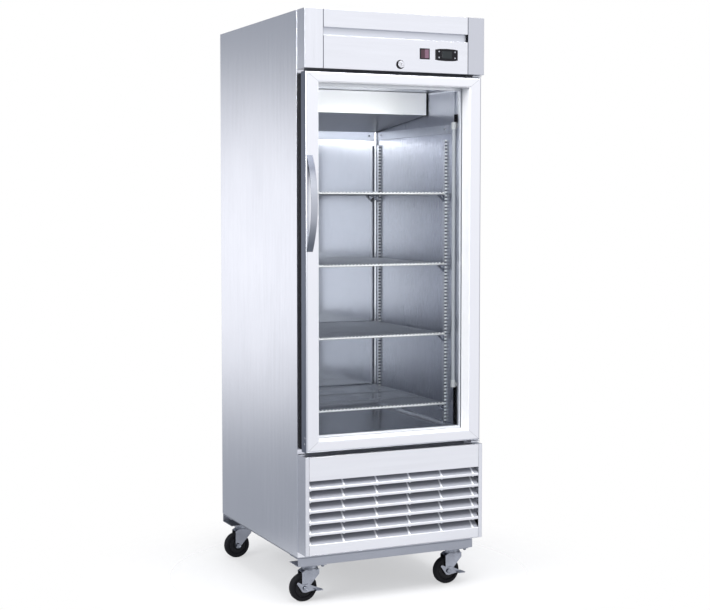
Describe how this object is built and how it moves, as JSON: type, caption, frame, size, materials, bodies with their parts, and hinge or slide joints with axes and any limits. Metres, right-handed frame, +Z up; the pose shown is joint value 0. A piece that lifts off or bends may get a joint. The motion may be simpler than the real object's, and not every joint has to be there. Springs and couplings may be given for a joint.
{
  "type": "reach-in refrigerator",
  "caption": "Tall stainless reach-in refrigerator with a hinged glass door, bow handle, wire shelves, control fascia, louvred base and swivel casters.",
  "frame": {"origin": "on the floor, under the middle of the cabinet", "axes": "+X to the right seen from the front, +Y to the back, +Z up; the door faces -Y"},
  "size_m": [0.714, 0.8955, 2.0645],
  "materials": {
    "stainless_skin": "brushed",
    "galvanised": "matte spangle",
    "liner": "bright annealed",
    "foam": "rigid foam",
    "breaker": "satin",
    "black_plastic": "gloss",
    "grey_plastic": "matte",
    "red_plastic": "translucent gloss",
    "chrome": "polished",
    "aluminium_frame": "satin anodised",
    "white_surround": "satin white",
    "glass": "clear",
    "gasket": "soft matte",
    "fins": "finned",
    "dark_metal": "semi-gloss",
    "lamp": "opal",
    "white_plastic": "satin",
    "zinc": "bright zinc",
    "shelf_wire": "bright zinc plated",
    "copper": "copper",
    "tyre": "moulded rubber"
  },
  "bodies": {
    "cabinet": {"side_panel_left": "stainless_skin", "side_panel_right": "stainless_skin", "top_panel": "stainless_skin", "back_panel": "galvanised", "rear_cover": "galvanised", "inner_liner": "liner", "foam_insulation": "foam", "breaker_frame": "breaker", "fascia_panel": "stainless_skin", "fascia_end_posts": "stainless_skin", "controller_housing": "black_plastic", "rocker_bezel": "black_plastic", "hinge_brackets": "galvanised", "evaporator_cover": "liner", "evaporator_coil": "fins", "fan_motors": "dark_metal", "lamp_channel": "dark_metal", "lamp_tube": "lamp", "lamp_end_caps": "white_plastic", "pilasters": "liner", "shelf_clips": "zinc", "grille_frame": "stainless_skin", "louvre_panel": "stainless_skin", "compressor": "dark_metal", "condenser_coil": "fins", "refrigerant_pipes": "copper", "condensate_pan": "white_plastic", "electrical_box": "galvanised", "base_rails": "galvanised", "base_pan": "galvanised", "caster_plates": "zinc"},
    "door": {"door_frame": "aluminium_frame", "door_surround": "white_surround", "door_glass": "glass", "glass_spacer": "aluminium_frame", "door_gasket": "gasket", "door_handle": "chrome", "hinge_bushes": "grey_plastic"},
    "lock": {"lock_cylinder": "chrome"},
    "rocker": {"rocker_switch": "red_plastic"},
    "evaporator_fan": {"evaporator_fan": "black_plastic"},
    "condenser_fan": {"condenser_fan": "black_plastic"},
    "button_set": {"controller_button_set": "grey_plastic"},
    "button_light": {"controller_button_light": "grey_plastic"},
    "button_up": {"controller_button_up": "grey_plastic"},
    "button_down": {"controller_button_down": "grey_plastic"},
    "fork_front_left": {"caster_fork_front_left": "zinc"},
    "wheel_front_left": {"caster_wheel_front_left": "tyre"},
    "brake_left": {"brake_lever_front_left": "zinc"},
    "fork_front_right": {"caster_fork_front_right": "zinc"},
    "wheel_front_right": {"caster_wheel_front_right": "tyre"},
    "brake_right": {"brake_lever_front_right": "zinc"},
    "fork_rear_left": {"caster_fork_rear_left": "zinc"},
    "wheel_rear_left": {"caster_wheel_rear_left": "tyre"},
    "fork_rear_right": {"caster_fork_rear_right": "zinc"},
    "wheel_rear_right": {"caster_wheel_rear_right": "tyre"},
    "shelf_1": {"wire_shelf_1": "shelf_wire"},
    "shelf_2": {"wire_shelf_2": "shelf_wire"},
    "shelf_3": {"wire_shelf_3": "shelf_wire"},
    "shelf_4": {"wire_shelf_4": "shelf_wire"}
  },
  "joints": [
    {"name": "door_hinge", "type": "hinge", "parent": "cabinet", "child": "door", "pos_m": [0.328, -0.382, 1.2], "axis": [0, 0, 1], "range_deg": [0, 110]},
    {"name": "lock_turn", "type": "hinge", "parent": "cabinet", "child": "lock", "pos_m": [0.013, -0.398, 1.887], "axis": [0, 1, 0], "range_deg": [0, 90]},
    {"name": "rocker_rock", "type": "hinge", "parent": "cabinet", "child": "rocker", "pos_m": [0.109, -0.4055, 1.928], "axis": [0, 0, 1], "range_deg": [0, 16]},
    {"name": "evaporator_fan_spin", "type": "hinge", "parent": "cabinet", "child": "evaporator_fan", "pos_m": [0, 0.117, 1.771], "axis": [0, 1, 0], "continuous": true},
    {"name": "condenser_fan_spin", "type": "hinge", "parent": "cabinet", "child": "condenser_fan", "pos_m": [-0.12, -0.225, 0.3175], "axis": [0, 1, 0], "continuous": true},
    {"name": "button_set_press", "type": "slide", "parent": "cabinet", "child": "button_set", "axis": [0, 1, 0], "range_m": [0, 0.0008], "stiffness_N_per_m": 600},
    {"name": "button_light_press", "type": "slide", "parent": "cabinet", "child": "button_light", "axis": [0, 1, 0], "range_m": [0, 0.0008], "stiffness_N_per_m": 600},
    {"name": "button_up_press", "type": "slide", "parent": "cabinet", "child": "button_up", "axis": [0, 1, 0], "range_m": [0, 0.0008], "stiffness_N_per_m": 600},
    {"name": "button_down_press", "type": "slide", "parent": "cabinet", "child": "button_down", "axis": [0, 1, 0], "range_m": [0, 0.0008], "stiffness_N_per_m": 600},
    {"name": "swivel_front_left", "type": "hinge", "parent": "cabinet", "child": "fork_front_left", "pos_m": [-0.286, -0.299, 0.12], "axis": [0, 0, 1], "continuous": true},
    {"name": "wheel_front_left_roll", "type": "hinge", "parent": "fork_front_left", "child": "wheel_front_left", "pos_m": [-0.314, -0.299, 0.05], "axis": [0, 1, 0], "continuous": true},
    {"name": "brake_left_press", "type": "hinge", "parent": "fork_front_left", "child": "brake_left", "pos_m": [-0.314, -0.299, 0.05], "axis": [0, 1, 0], "range_deg": [0, 12]},
    {"name": "swivel_front_right", "type": "hinge", "parent": "cabinet", "child": "fork_front_right", "pos_m": [0.286, -0.299, 0.12], "axis": [0, 0, 1], "continuous": true},
    {"name": "wheel_front_right_roll", "type": "hinge", "parent": "fork_front_right", "child": "wheel_front_right", "pos_m": [0.258, -0.299, 0.05], "axis": [0, 1, 0], "continuous": true},
    {"name": "brake_right_press", "type": "hinge", "parent": "fork_front_right", "child": "brake_right", "pos_m": [0.258, -0.299, 0.05], "axis": [0, 1, 0], "range_deg": [0, 12]},
    {"name": "swivel_rear_left", "type": "hinge", "parent": "cabinet", "child": "fork_rear_left", "pos_m": [-0.286, 0.385, 0.12], "axis": [0, 0, 1], "continuous": true},
    {"name": "wheel_rear_left_roll", "type": "hinge", "parent": "fork_rear_left", "child": "wheel_rear_left", "pos_m": [-0.314, 0.385, 0.05], "axis": [0, 1, 0], "continuous": true},
    {"name": "swivel_rear_right", "type": "hinge", "parent": "cabinet", "child": "fork_rear_right", "pos_m": [0.286, 0.385, 0.12], "axis": [0, 0, 1], "continuous": true},
    {"name": "wheel_rear_right_roll", "type": "hinge", "parent": "fork_rear_right", "child": "wheel_rear_right", "pos_m": [0.258, 0.385, 0.05], "axis": [0, 1, 0], "continuous": true},
    {"name": "shelf_1_lift", "type": "slide", "parent": "cabinet", "child": "shelf_1", "axis": [0, 0, 1], "range_m": [0, 0.04]},
    {"name": "shelf_2_lift", "type": "slide", "parent": "cabinet", "child": "shelf_2", "axis": [0, 0, 1], "range_m": [0, 0.04]},
    {"name": "shelf_3_lift", "type": "slide", "parent": "cabinet", "child": "shelf_3", "axis": [0, 0, 1], "range_m": [0, 0.04]},
    {"name": "shelf_4_lift", "type": "slide", "parent": "cabinet", "child": "shelf_4", "axis": [0, 0, 1], "range_m": [0, 0.04]}
  ]
}
